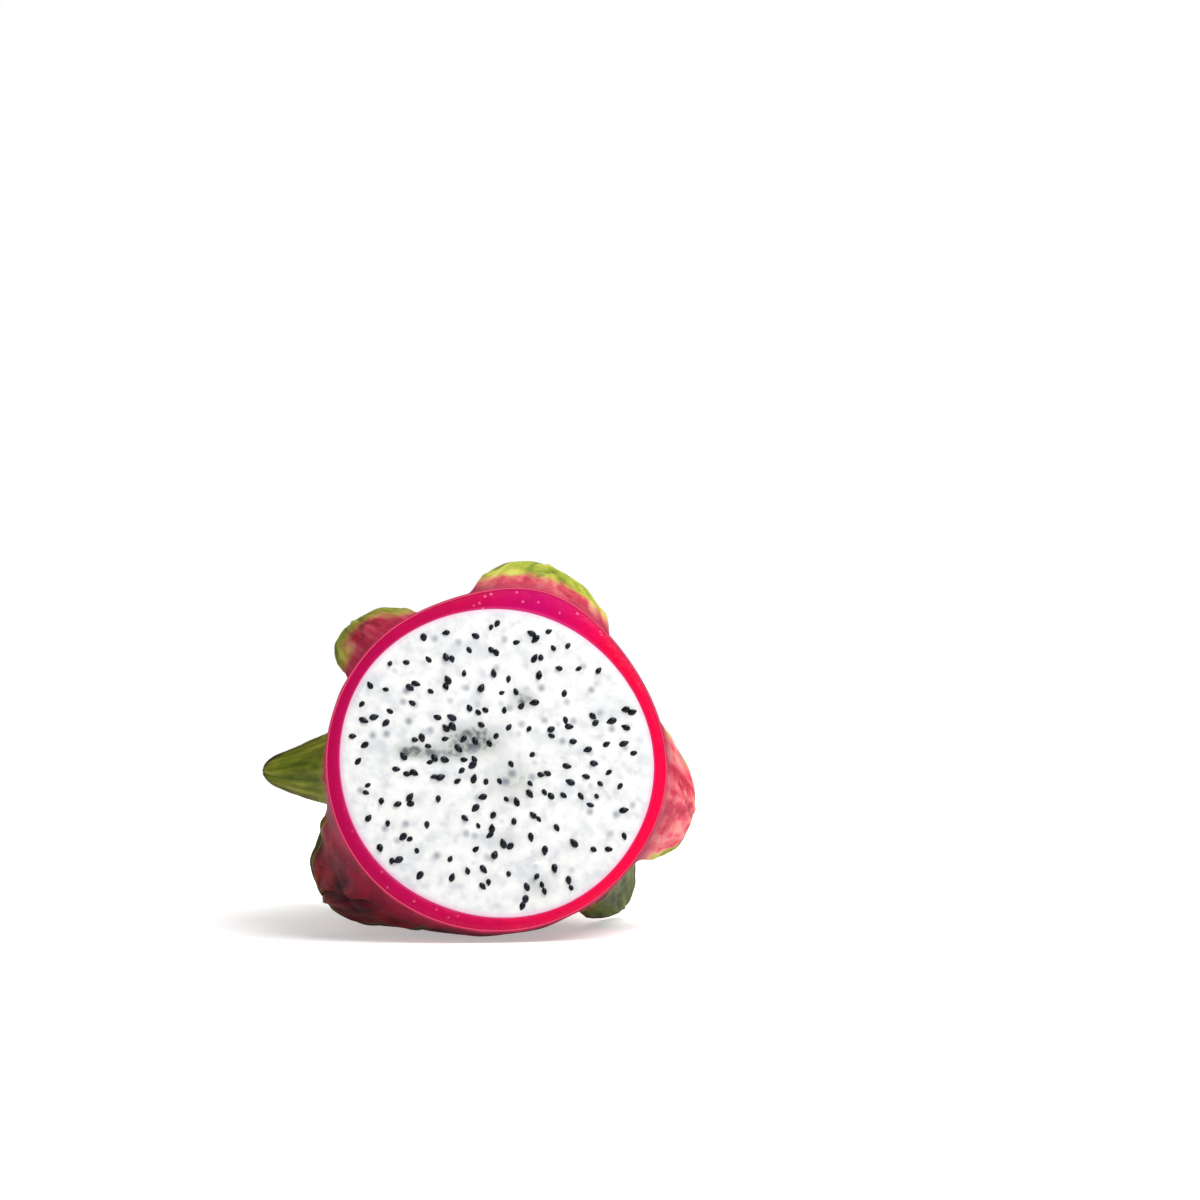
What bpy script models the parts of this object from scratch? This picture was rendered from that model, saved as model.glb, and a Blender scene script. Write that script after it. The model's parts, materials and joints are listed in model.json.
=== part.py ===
"""One half of a white-fleshed dragon fruit, cut across its middle and standing on its curved side.

The fruit grew as one piece, so the part is one solid: the round body behind the flat cut, and the
leafy bracts that grow out of its peel. Metres, +Z up. The cut faces -Y and leans back.
"""

from math import atan2, cos, exp, pi, radians, sin, sqrt
from typing import NamedTuple

import bmesh
import bpy
from mathutils import Vector

# Driving dimensions, in metres and radians.
CUT_RADIUS = 0.0448  # outside of the peel, at the cut
HALF_LENGTH = 0.058  # from the cut to the flower end
BLUNTNESS = 2.3  # exponent of the superellipse that the body's side follows
LEAN = radians(12)  # how far the cut leans back
RESTING_DENT = 0.0006  # how far the underside is pressed flat where it rests
SCAR_RADIUS = 0.0060  # of the pit that the dried flower leaves at the far end
SCAR_DEPTH = 0.0030
SWELLING_LENGTH = 0.012  # over which the peel swells towards a bract

# The cage that the rounded body comes from: columns around it, and one narrow band for each whorl
# of bracts, given as (share of the half's length, width of the band).
COLUMNS = 30
WHORLS = (
    (0.045, 0.0042),
    (0.215, 0.0042),
    (0.400, 0.0042),
    (0.580, 0.0040),
    (0.745, 0.0034),
    (0.880, 0.0024),
)


class Bract(NamedTuple):
    """One leafy bract. Lengths in metres and angles in degrees."""

    name: str
    whorl: int
    angle: float  # round the fruit: 0 is +X and 90 is the top, seen from the cut
    width: float  # across its foot
    length: float
    flare: float  # off the skin, at the foot
    curl: float  # from foot to tip: plus bends it outwards
    sway: float  # from foot to tip: plus turns it anticlockwise, seen from the cut
    cup: float = 1.0  # how closely it wraps round the body: 1 follows it
    strap: float = 0.6  # share of the width that it keeps along its length
    swell: float = 0.0020  # how far the peel stands proud where it runs down into it


BRACTS = (
    Bract("top", 0, 72, 0.040, 0.027, 26, -12, 6, cup=1.5, strap=0.75, swell=0.0052),
    Bract("right", 0, -9, 0.040, 0.026, 35, -20, -2, cup=1.8, strap=0.7, swell=0.0014),
    Bract("lower_left", 0, 222, 0.046, 0.028, 25, -10, -24, cup=1.9, strap=0.6, swell=0.0006),
    Bract("upper_left", 1, 129, 0.028, 0.026, 44, -26, -2, cup=1.5, strap=0.75),
    Bract("left", 2, 176, 0.022, 0.0305, 40, 14, -10, strap=0.35),
    Bract("lower_right", 2, 320, 0.027, 0.034, 22, 10, 4),
    Bract("under", 2, 256, 0.026, 0.028, 20, 0, 0),
    Bract("upper_right", 2, 42, 0.028, 0.030, 20, 2, 10),
    Bract("top_back", 2, 98, 0.029, 0.034, 22, 4, -8),
    Bract("right_back", 3, 8, 0.027, 0.040, 26, 12, 8),
    Bract("lower_right_back", 3, 283, 0.024, 0.036, 16, 10, 0),
    Bract("lower_left_back", 3, 222, 0.025, 0.040, 22, 16, -8),
    Bract("upper_left_back", 3, 150, 0.027, 0.042, 24, 20, 0),
    Bract("crown_top", 4, 70, 0.026, 0.056, 24, 26, -8, strap=0.5),
    Bract("crown_left", 4, 185, 0.024, 0.056, 26, 34, 8, strap=0.5),
    Bract("crown_under", 4, 258, 0.024, 0.050, 22, 14, 0, strap=0.5),
    Bract("crown_right", 4, 330, 0.026, 0.054, 26, 30, 10, strap=0.5),
    Bract("inner_upper_left", 5, 125, 0.020, 0.066, 40, 12, -10, strap=0.5),
    Bract("inner_right", 5, 15, 0.020, 0.064, 42, 4, 8, strap=0.5),
    Bract("inner_under", 5, 235, 0.019, 0.060, 42, -4, 0, strap=0.5),
)
BRACT_RINGS = (0.16, 0.42, 0.70, 0.90, 1.0)  # shares of a bract's length where the cage has a ring
FOOT_THICKNESS = 0.0030  # of a bract just off the skin
TIP_THICKNESS = 0.0012
TIP_WIDTH = 0.14  # share of the base width
MARGIN_THINNING = 0.55  # share of the thickness that a bract loses towards its margins

SMOOTHING = 1  # rounds of Subdivision Surface
TABLE_SIZE = 0.5  # of the block whose top presses the resting spot flat
SKIN = (0.55, 0.03, 0.12, 1.0)
SKIN_ROUGHNESS = 0.4


def side_point(share):
    """(radius, distance from the cut) on the body's side, at this share of the half's length."""
    radius = CUT_RADIUS * (1 - share**BLUNTNESS) ** (1 / BLUNTNESS)
    return radius, share * HALF_LENGTH


def turned(angle):
    """The same angle, between -pi and pi."""
    return (angle + pi) % (2 * pi) - pi


def swelling(angle, along):
    """How far the peel stands proud of the plain body, where a bract's base runs down into it."""
    proud = 0.0
    for bract in BRACTS:
        start, band = WHORLS[bract.whorl]
        radius, base = side_point(start)
        across = turned(angle - radians(bract.angle)) * radius / (0.42 * bract.width)
        behind = (base + band - along) / SWELLING_LENGTH
        if behind > 0:
            proud = max(proud, bract.swell * exp(-(across**2) - behind**2))
    return proud


def skin_point(angle, share):
    """The point of the peel at this angle and this share of the half's length, cut at the origin."""
    radius, along = side_point(share)
    full = radius + swelling(angle, along)
    return Vector((full * cos(angle), along, full * sin(angle)))


def ring_shares():
    """Where the cage's rings stand: at the cut, and on both sides of each whorl's band."""
    shares = [0.0]
    for start, band in WHORLS:
        shares += [start, start + band / HALF_LENGTH]
    return shares


def base_patch(bract):
    """(ring, first column, how many columns, half angle) of the faces that a bract grows from."""
    step = 2 * pi / COLUMNS
    half = bract.width / 2 / side_point(WHORLS[bract.whorl][0])[0]
    columns = max(2, round(2 * half / step))
    first = round(radians(bract.angle) / step - columns / 2)
    return 1 + 2 * bract.whorl, first, columns, half


def ring_angles(rings):
    """The angle of each cage vertex: those of a bract's base spread to its width, the rest relax."""
    step = 2 * pi / COLUMNS
    shift = {}
    for bract in BRACTS:
        ring, first, columns, half = base_patch(bract)
        for k in range(columns + 1):
            angle = radians(bract.angle) + half * (2 * k / columns - 1)
            for row in (ring, ring + 1):
                shift[row, (first + k) % COLUMNS] = turned(angle - (first + k) * step)
    pinned = set(shift)
    for _ in range(40):
        fresh = dict(shift)
        for row in range(rings):
            for column in range(COLUMNS):
                if (row, column) not in pinned:
                    sides = [(row, column - 1), (row, column + 1), (row - 1, column), (row + 1, column)]
                    near = [shift.get((r, c % COLUMNS), 0.0) for r, c in sides if 0 <= r < rings]
                    fresh[row, column] = sum(near) / (len(near) + 1)
        shift = fresh
    return [[c * step + shift[row, c] for c in range(COLUMNS)] for row in range(rings)]


def next_ring(bm, ring):
    """A new ring of vertices, extruded from this one and in the same order."""
    edges = [bm.edges.get((ring[k - 1], ring[k])) for k in range(len(ring))]
    made = bmesh.ops.extrude_edge_only(bm, edges=edges)["geom"]
    new = {v for v in made if isinstance(v, bmesh.types.BMVert)}
    return [next(e.other_vert(v) for e in v.link_edges if e.other_vert(v) in new) for v in ring]


def grow_body(bm):
    """The rings of the body's side, each extruded from the last, starting at the cut."""
    shares = ring_shares()
    angles = ring_angles(len(shares))
    circle = bmesh.ops.create_circle(bm, cap_ends=False, segments=COLUMNS, radius=1.0)["verts"]
    rings = [sorted(circle, key=lambda v: atan2(v.co.y, v.co.x) % (2 * pi))]
    for _ in shares[1:]:
        rings.append(next_ring(bm, rings[-1]))
    loss = (4 + 2 * cos(2 * pi / COLUMNS)) / 6  # how far smoothing shrinks a ring
    for ring, row, share in zip(rings, angles, shares):
        for vert, angle in zip(ring, row):
            point = skin_point(angle, share)
            vert.co = (point.x / loss, point.y, point.z / loss)
    return rings


def close_ends(bm, rings):
    """The flat cut, kept crisp at its rim, and the pit where the flower dried off."""
    rim = rings[0]
    face = bmesh.ops.contextual_create(bm, geom=rim)["faces"][0]
    crease = bm.edges.layers.float.new("crease_edge")
    for edge in face.edges:
        edge[crease] = 1.0
    scar = (
        (SCAR_RADIUS * 1.25, HALF_LENGTH * 0.995),
        (SCAR_RADIUS, HALF_LENGTH),
        (SCAR_RADIUS * 0.7, HALF_LENGTH - SCAR_DEPTH),
    )
    ring = rings[-1]
    for radius, along in scar:
        around = [atan2(v.co.z, v.co.x) for v in ring]
        ring = next_ring(bm, ring)
        for vert, angle in zip(ring, around):
            vert.co = (radius * cos(angle), along, radius * sin(angle))
    bmesh.ops.contextual_create(bm, geom=ring)


def bract_point(bract, across, side, share):
    """A point of a bract: across from -1 to 1, side 1 on its outer face and -1 on its inner one."""
    start, band = WHORLS[bract.whorl]
    angle = radians(bract.angle)
    foot_share = start + band / HALF_LENGTH / 2
    point = skin_point(angle, foot_share)
    along = (skin_point(angle, foot_share + 0.01) - skin_point(angle, foot_share - 0.01)).normalized()
    around = Vector((-sin(angle), 0, cos(angle)))
    outward = along.cross(around)
    # Walk from the foot to this share of the length, turning on the way.
    steps = 12
    for k in range(steps + 1):
        part = share * min(k + 0.5, steps) / steps
        tilt = radians(bract.flare + bract.curl * part)
        turn = radians(bract.sway * part)
        ahead = along * cos(turn) + around * sin(turn)
        if k < steps:
            point += (ahead * cos(tilt) + outward * sin(tilt)) * (bract.length * share / steps)
    sideways = around * cos(turn) - along * sin(turn)
    normal = outward * cos(tilt) - ahead * sin(tilt)
    narrowing = (1 - bract.strap) * (1 - share) ** 1.3 + bract.strap * sqrt(1 - share**4)
    reach = across * bract.width / 2 * (TIP_WIDTH + (1 - TIP_WIDTH) * narrowing)
    wrap = 1 + (bract.cup - 1) * min(1, share / 0.4)
    thickness = FOOT_THICKNESS + (TIP_THICKNESS - FOOT_THICKNESS) * share**0.6
    thickness *= 1 - MARGIN_THINNING * across**2
    off = side * thickness / 2 - wrap * reach**2 / (2 * side_point(start)[0])
    return point + sideways * reach + normal * off


def grow_bract(bm, rings, bract):
    """A bract, extruded ring by ring from its patch of faces on the body's side."""
    ring, first, columns, _ = base_patch(bract)
    place = {}
    for row, side in ((ring, 1), (ring + 1, -1)):
        for k in range(columns + 1):
            place[rings[row][(first + k) % COLUMNS]] = (2 * k / columns - 1, side)
    patch = [face for face in bm.faces if all(v in place for v in face.verts)]
    for share in BRACT_RINGS:
        before = {tuple(v.co): place[v] for v in place}
        made = bmesh.ops.extrude_face_region(bm, geom=patch)["geom"]
        bmesh.ops.delete(bm, geom=patch, context="FACES_ONLY")
        patch = [f for f in made if isinstance(f, bmesh.types.BMFace)]
        place = {v: before[tuple(v.co)] for v in made if isinstance(v, bmesh.types.BMVert)}
        for vert, (across, side) in place.items():
            vert.co = bract_point(bract, across, side, share)


def fruit_mesh():
    """The cage of the whole half, with the cut at y = 0 and its axis along +Y."""
    bm = bmesh.new()
    rings = grow_body(bm)
    close_ends(bm, rings)
    for bract in BRACTS:
        grow_bract(bm, rings, bract)
    bmesh.ops.recalc_face_normals(bm, faces=bm.faces)
    mesh = bpy.data.meshes.new("dragon_fruit_half")
    bm.to_mesh(mesh)
    bm.free()
    return mesh


def material(name, colour, roughness):
    """A plain Principled material."""
    made = bpy.data.materials.new(name)
    made.use_nodes = True
    shader = made.node_tree.nodes["Principled BSDF"]
    shader.inputs["Base Color"].default_value = colour
    shader.inputs["Roughness"].default_value = roughness
    return made


def resting_height():
    """How high the middle of the cut is when the leaning body is pressed onto the table."""
    lowest = 0.0
    for degrees in range(240, 301, 5):
        for percent in range(0, 90, 3):
            point = skin_point(radians(degrees), percent / 100)
            lowest = min(lowest, point.z * cos(LEAN) - point.y * sin(LEAN))
    return -lowest - RESTING_DENT


def main():
    for old in list(bpy.data.objects):
        bpy.data.objects.remove(old)
    fruit = bpy.data.objects.new("dragon_fruit_half", fruit_mesh())
    parts = bpy.data.collections.new("dragon_fruit")
    bpy.context.scene.collection.children.link(parts)
    parts.objects.link(fruit)
    fruit.data.materials.append(material("peel", SKIN, SKIN_ROUGHNESS))
    fruit.rotation_euler.x = -LEAN
    fruit.location.z = resting_height()
    rounding = fruit.modifiers.new("rounding", "SUBSURF")
    rounding.levels = rounding.render_levels = SMOOTHING

    cutters = bpy.data.collections.new("cutters")
    bpy.context.scene.collection.children.link(cutters)
    bpy.ops.mesh.primitive_cube_add(size=TABLE_SIZE, location=(0, 0, -TABLE_SIZE / 2))
    table = bpy.context.object
    table.name = "table_top"
    table.hide_render = True
    table.display_type = "WIRE"
    for collection in table.users_collection:
        collection.objects.unlink(table)
    cutters.objects.link(table)
    pressed = fruit.modifiers.new("pressed_flat", "BOOLEAN")
    pressed.operation = "DIFFERENCE"
    pressed.object = table

    # The origin is on the table, in the middle of the footprint's box.
    bpy.context.view_layer.update()
    shape = fruit.evaluated_get(bpy.context.evaluated_depsgraph_get())
    corners = [shape.matrix_world @ v.co for v in shape.data.vertices]
    for axis in (0, 1):
        values = [corner[axis] for corner in corners]
        fruit.location[axis] -= (min(values) + max(values)) / 2


main()
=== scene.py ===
"""Looks of one half of a white-fleshed dragon fruit, cut across and resting on its curved side.

The fruit grew as one thing, so it is modelled in the layers that the cut lays open: the peel with
its leafy bracts, the rind under it, the flesh, the seeds, and the scar of the flower at the far end.
"""

import json
import random
from math import asin, atan2, cos, exp, hypot, pi, radians, sin, sqrt
from typing import NamedTuple

import bmesh
import bpy
import numpy as np
from mathutils import Matrix, Vector, noise


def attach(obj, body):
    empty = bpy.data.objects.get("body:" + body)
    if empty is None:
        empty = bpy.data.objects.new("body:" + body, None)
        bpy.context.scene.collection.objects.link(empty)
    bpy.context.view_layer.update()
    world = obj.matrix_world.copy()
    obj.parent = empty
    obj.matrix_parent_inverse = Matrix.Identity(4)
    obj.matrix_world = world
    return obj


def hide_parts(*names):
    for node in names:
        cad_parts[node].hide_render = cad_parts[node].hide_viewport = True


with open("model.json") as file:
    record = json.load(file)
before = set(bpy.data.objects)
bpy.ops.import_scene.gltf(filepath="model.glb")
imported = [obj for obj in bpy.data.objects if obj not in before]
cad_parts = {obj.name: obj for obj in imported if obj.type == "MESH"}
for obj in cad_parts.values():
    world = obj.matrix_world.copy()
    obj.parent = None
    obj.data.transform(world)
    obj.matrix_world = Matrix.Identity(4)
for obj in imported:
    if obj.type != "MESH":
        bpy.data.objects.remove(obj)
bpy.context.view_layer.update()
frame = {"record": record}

# ----------------------------------------------------------------------------
# The cut. A knife went straight across the fruit, and the half leans back on its curved side.
# Its middle and the way it looks are the record's cut_face mount. The fruit is modelled with the
# cut at y = 0 and the flower end towards +Y, and each finished piece is stood up at the end.
# ----------------------------------------------------------------------------
cut_face = next(mount for mount in frame["record"]["mounts"] if mount["name"] == "cut_face")
cut_middle = Vector(cut_face["pos_m"])
lean = asin(cut_face["axis"][2])
standing = Matrix.Translation(cut_middle) @ Matrix.Rotation(-lean, 4, "X")
MM = 0.001

# ----------------------------------------------------------------------------
# The peel: the waxy outer skin of the fruit, with the leafy bracts that grow out of it. It grew
# from a round body in rows of bracts, red where they start and green where they end. Its cage is
# extruded row by row and bract by bract, then smoothed, creased, and pressed onto the table.
# ----------------------------------------------------------------------------
CUT_RADIUS = 44.8 * MM
HALF_LENGTH = 58 * MM
BLUNTNESS = 2.3  # exponent of the superellipse that the side follows
SCAR_RADIUS = 6 * MM
SCAR_DEPTH = 3 * MM
SWELLING_LENGTH = 12 * MM  # over which the peel swells towards a bract
COLUMNS = 30  # of the cage, round the body
RELAXING = 40  # rounds in which the columns between the bracts even out
WHORLS = (  # bands of the cage that bracts grow from: share of the length, and width
    (0.045, 4.2 * MM),
    (0.215, 4.2 * MM),
    (0.400, 4.2 * MM),
    (0.580, 4.0 * MM),
    (0.745, 3.4 * MM),
    (0.880, 2.4 * MM),
)
BRACT_RINGS = (0.16, 0.42, 0.70, 0.90, 1.0)  # shares of a bract's length with a ring of the cage
FOOT_THICKNESS = 3.0 * MM
TIP_THICKNESS = 1.2 * MM
TIP_WIDTH = 0.14  # share of the width
MARGIN_THINNING = 0.55  # share of the thickness lost towards the margins
PEEL_SMOOTHING = 3
SKIN_EDGE = 0.5 * MM  # how thick the skin looks where it is cut
WALL_DEPTH = 1.3 * MM  # from the plain body in to the peel's hidden inner wall
SHARP_ANGLE = radians(55)  # edges sharper than this stay crisp
BODY_EDGE = 20.0  # what the "edge" attribute says, in millimetres, where there is no margin


class Bract(NamedTuple):
    """One leafy bract. Lengths are in millimetres and angles in degrees."""

    name: str
    whorl: int
    angle: float  # round the fruit: 0 is +X and 90 is the top, seen from the cut
    width: float  # across its foot
    length: float
    flare: float  # off the skin, at the foot
    curl: float  # from foot to tip: plus bends it outwards
    sway: float  # from foot to tip: plus turns it anticlockwise, seen from the cut
    cup: float = 1.0  # how closely it wraps round the body: 1 follows it
    strap: float = 0.6  # share of the width that it keeps along its length
    swell: float = 2.0  # how far the peel stands proud where it runs down into it
    green: float = 0.5  # how much of it is green, from the tip down
    rim: float = 1.4  # width of its green margin
    # How lit the bract is painted, and partly its own tone: low is painted shade, high is painted light.
    blush: float = 0.5  # 0 is dark red and olive, 1 is salmon pink and yellow-green
    fold: float = 0.6  # depth of the creases along it


BRACTS = (
    Bract("top", 0, 72, 40, 27, 26, -12, 6, cup=1.5, strap=0.75, swell=5.2, green=0.9, rim=4.2, blush=1.0),
    Bract("right", 0, -9, 40, 26, 35, -20, -2, cup=1.8, strap=0.7, swell=1.4, green=0.0, rim=1.4, blush=1.0),
    Bract("lower_left", 0, 222, 46, 28, 25, -10, -24, cup=1.9, swell=0.6, green=0.05, blush=0.0, fold=1.3),
    Bract("upper_left", 1, 129, 28, 26, 44, -26, -2, cup=1.5, strap=0.75, green=0.5, rim=5.5, blush=0.55),
    Bract("left", 2, 176, 22, 30.5, 40, 14, -10, strap=0.35, green=1.4, blush=0.3, fold=0.3),
    Bract("lower_right", 2, 320, 27, 34, 22, 10, 4, green=1.0, rim=2.0, blush=0.05),
    Bract("under", 2, 256, 26, 28, 20, 0, 0, green=0.3, blush=0.1),
    Bract("upper_right", 2, 42, 28, 30, 20, 2, 10),
    Bract("top_back", 2, 98, 29, 34, 22, 4, -8),
    Bract("right_back", 3, 8, 27, 40, 26, 12, 8, green=0.6),
    Bract("lower_right_back", 3, 283, 24, 36, 16, 10, 0, green=0.6, blush=0.3),
    Bract("lower_left_back", 3, 222, 25, 40, 22, 16, -8, green=0.6, blush=0.4),
    Bract("upper_left_back", 3, 150, 27, 42, 24, 20, 0, green=0.6),
    Bract("crown_top", 4, 70, 26, 56, 24, 26, -8, strap=0.5, green=0.7, blush=0.8),
    Bract("crown_left", 4, 185, 24, 56, 26, 34, 8, strap=0.5, green=0.75, blush=0.7),
    Bract("crown_under", 4, 258, 24, 50, 22, 14, 0, strap=0.5, green=0.7, blush=0.6),
    Bract("crown_right", 4, 330, 26, 54, 26, 30, 10, strap=0.5, green=0.75, blush=0.8),
    Bract("inner_upper_left", 5, 125, 20, 66, 40, 12, -10, strap=0.5, green=0.85, blush=0.9),
    Bract("inner_right", 5, 15, 20, 64, 42, 4, 8, strap=0.5, green=0.85, blush=0.9),
    Bract("inner_under", 5, 235, 19, 60, 42, -4, 0, strap=0.5, green=0.85, blush=0.8),
)


def side_point(share):
    """(radius, distance from the cut) on the body's side, at this share of the half's length."""
    radius = CUT_RADIUS * (1 - share**BLUNTNESS) ** (1 / BLUNTNESS)
    return radius, share * HALF_LENGTH


def turned(angle):
    """The same angle, between -pi and pi."""
    return (angle + pi) % (2 * pi) - pi


def nearness(bract, angle, along):
    """1 at the middle of a bract's base, and less round it and towards the cut."""
    start, band = WHORLS[bract.whorl]
    radius, base = side_point(start)
    across = turned(angle - radians(bract.angle)) * radius / (0.42 * bract.width * MM)
    behind = (base + band - along) / SWELLING_LENGTH
    return exp(-(across**2) - behind**2) if behind > 0 else 0.0


def swelling(angle, along):
    """How far the peel stands proud of the plain body, where a bract's base runs down into it."""
    return max(bract.swell * MM * nearness(bract, angle, along) for bract in BRACTS)


def skin_point(angle, share):
    """The point of the peel at this angle and this share of the half's length."""
    radius, along = side_point(share)
    full = radius + swelling(angle, along)
    return Vector((full * cos(angle), along, full * sin(angle)))


def base_patch(bract):
    """(ring, first column, how many columns, half angle) of the faces that a bract grows from."""
    step = 2 * pi / COLUMNS
    half = bract.width * MM / 2 / side_point(WHORLS[bract.whorl][0])[0]
    columns = max(2, round(2 * half / step))
    first = round(radians(bract.angle) / step - columns / 2)
    return 1 + 2 * bract.whorl, first, columns, half


def ring_angles(rings):
    """The angle of each cage vertex: those of a bract's base spread to its width, the rest relax."""
    step = 2 * pi / COLUMNS
    shift = {}
    for bract in BRACTS:
        ring, first, columns, half = base_patch(bract)
        for k in range(columns + 1):
            angle = radians(bract.angle) + half * (2 * k / columns - 1)
            for row in (ring, ring + 1):
                shift[row, (first + k) % COLUMNS] = turned(angle - (first + k) * step)
    pinned = set(shift)
    for _ in range(RELAXING):
        fresh = dict(shift)
        for row in range(rings):
            for column in range(COLUMNS):
                if (row, column) not in pinned:
                    sides = [(row, column - 1), (row, column + 1), (row - 1, column), (row + 1, column)]
                    near = [shift.get((r, c % COLUMNS), 0.0) for r, c in sides if 0 <= r < rings]
                    fresh[row, column] = sum(near) / (len(near) + 1)
        shift = fresh
    return [[c * step + shift[row, c] for c in range(COLUMNS)] for row in range(rings)]


def next_ring(bm, ring):
    """A new ring of vertices, extruded from this one and in the same order."""
    edges = [bm.edges.get((ring[k - 1], ring[k])) for k in range(len(ring))]
    made = bmesh.ops.extrude_edge_only(bm, edges=edges)["geom"]
    new = {v for v in made if isinstance(v, bmesh.types.BMVert)}
    return [next(e.other_vert(v) for e in v.link_edges if e.other_vert(v) in new) for v in ring]


def bract_point(bract, across, side, share):
    """A point of a bract: across from -1 to 1, side 1 on its outer face and -1 on its inner one."""
    start, band = WHORLS[bract.whorl]
    angle = radians(bract.angle)
    foot_share = start + band / HALF_LENGTH / 2
    point = skin_point(angle, foot_share)
    along = (skin_point(angle, foot_share + 0.01) - skin_point(angle, foot_share - 0.01)).normalized()
    around = Vector((-sin(angle), 0, cos(angle)))
    outward = along.cross(around)
    # Walk from the foot to this share of the length, turning on the way.
    steps = 12
    for k in range(steps + 1):
        part = share * min(k + 0.5, steps) / steps
        tilt = radians(bract.flare + bract.curl * part)
        turn = radians(bract.sway * part)
        ahead = along * cos(turn) + around * sin(turn)
        if k < steps:
            point += (ahead * cos(tilt) + outward * sin(tilt)) * (bract.length * MM * share / steps)
    sideways = around * cos(turn) - along * sin(turn)
    normal = outward * cos(tilt) - ahead * sin(tilt)
    reach = across * half_width(bract, share)
    wrap = 1 + (bract.cup - 1) * min(1, share / 0.4)
    thickness = FOOT_THICKNESS + (TIP_THICKNESS - FOOT_THICKNESS) * share**0.6
    thickness *= 1 - MARGIN_THINNING * across**2
    off = side * thickness / 2 - wrap * reach**2 / (2 * side_point(start)[0])
    return point + sideways * reach + normal * off


def half_width(bract, share):
    """Half of a bract's width at this share of its length, in metres."""
    narrowing = (1 - bract.strap) * (1 - share) ** 1.3 + bract.strap * sqrt(1 - share**4)
    return bract.width * MM / 2 * (TIP_WIDTH + (1 - TIP_WIDTH) * narrowing)


def grow_bract(bm, rings, bract, layers):
    """A bract, extruded ring by ring from its patch of faces on the body's side."""
    ring, first, columns, _ = base_patch(bract)
    place = {}
    for row, side in ((ring, 1), (ring + 1, -1)):
        for k in range(columns + 1):
            place[rings[row][(first + k) % COLUMNS]] = (2 * k / columns - 1, side)
    for vert, (across, _) in place.items():
        vert[layers["across"]] = across
    patch = [face for face in bm.faces if all(v in place for v in face.verts)]
    for share in BRACT_RINGS:
        before = {tuple(v.co): place[v] for v in place}
        made = bmesh.ops.extrude_face_region(bm, geom=patch)["geom"]
        bmesh.ops.delete(bm, geom=patch, context="FACES_ONLY")
        patch = [f for f in made if isinstance(f, bmesh.types.BMFace)]
        place = {v: before[tuple(v.co)] for v in made if isinstance(v, bmesh.types.BMVert)}
        for vert, (across, side) in place.items():
            vert.co = bract_point(bract, across, side, share)
            margin = min((1 - abs(across)) * half_width(bract, share), (1 - share) * bract.length * MM)
            values = {"along": share, "across": across, "inner": (1 - side) / 2, "edge": margin / MM}
            values |= {"green": bract.green, "rim": bract.rim, "blush": bract.blush}
            values |= {"fold": bract.fold, "foot": 1.0}
            for name, value in values.items():
                vert[layers[name]] = value


def mesh_of(bm, name):
    """The bmesh as a mesh of this name."""
    mesh = bpy.data.meshes.new(name)
    bm.to_mesh(mesh)
    bm.free()
    return mesh


def peel_cage():
    """The cage of the peel, open at the cut, and each vertex's place on its bract."""
    bm = bmesh.new()
    names = ("along", "across", "inner", "edge", "green", "rim", "blush", "fold", "foot")
    layers = {name: bm.verts.layers.float.new(name) for name in names}
    shares = [0.0]
    for start, band in WHORLS:
        shares += [start, start + band / HALF_LENGTH]
    circle = bmesh.ops.create_circle(bm, cap_ends=False, segments=COLUMNS, radius=1.0)["verts"]
    rings = [sorted(circle, key=lambda v: atan2(v.co.y, v.co.x) % (2 * pi))]
    for _ in shares[1:]:
        rings.append(next_ring(bm, rings[-1]))
    loss = (4 + 2 * cos(2 * pi / COLUMNS)) / 6  # how far smoothing shrinks a ring
    for ring, row, share in zip(rings, ring_angles(len(shares)), shares):
        for vert, angle in zip(ring, row):
            point = skin_point(angle, share)
            vert.co = (point.x / loss, point.y, point.z / loss)
            nearest = max(BRACTS, key=lambda bract: nearness(bract, angle, point.y))
            vert[layers["foot"]] = nearness(nearest, angle, point.y)
            vert[layers["blush"]] = nearest.blush
            vert[layers["green"]] = nearest.green
    # The pit that the flower leaves.
    ring = rings[-1]
    pit = ((1.25 * SCAR_RADIUS, 0.995 * HALF_LENGTH), (SCAR_RADIUS, HALF_LENGTH))
    for radius, along in pit + ((0.7 * SCAR_RADIUS, HALF_LENGTH - SCAR_DEPTH),):
        around = [atan2(v.co.z, v.co.x) for v in ring]
        ring = next_ring(bm, ring)
        for vert, angle in zip(ring, around):
            vert.co = (radius * cos(angle), along, radius * sin(angle))
    bmesh.ops.contextual_create(bm, geom=ring)
    for vert in bm.verts:
        vert[layers["edge"]] = BODY_EDGE
    for bract in BRACTS:
        grow_bract(bm, rings, bract, layers)
    bmesh.ops.recalc_face_normals(bm, faces=bm.faces)
    return mesh_of(bm, "peel_cage")


def smoothed(cage, levels):
    """The cage after this many rounds of subdivision, as a mesh of its own."""
    holder = bpy.data.objects.new("cage", cage)
    bpy.context.scene.collection.objects.link(holder)
    rounding = holder.modifiers.new("rounding", "SUBSURF")
    rounding.levels = rounding.render_levels = levels
    depsgraph = bpy.context.evaluated_depsgraph_get()
    mesh = bpy.data.meshes.new_from_object(holder.evaluated_get(depsgraph), depsgraph=depsgraph)
    bpy.data.objects.remove(holder)
    bpy.data.meshes.remove(cage)
    return mesh


def values_of(mesh, name):
    """A mesh's float attribute as an array."""
    values = np.empty(len(mesh.vertices), dtype=np.float32)
    mesh.attributes[name].data.foreach_get("value", values)
    return values


def rows_of(items, what):
    """What each of a mesh's items says under this name, such as its position, as rows of three."""
    rows = np.empty(len(items) * 3, dtype=np.float32)
    items.foreach_get(what, rows)
    return rows.reshape(-1, 3).astype(np.float64)


def move_to(mesh, rows):
    """Puts the mesh's vertices at these rows."""
    mesh.vertices.foreach_set("co", rows.astype(np.float32).ravel())
    mesh.update()


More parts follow.
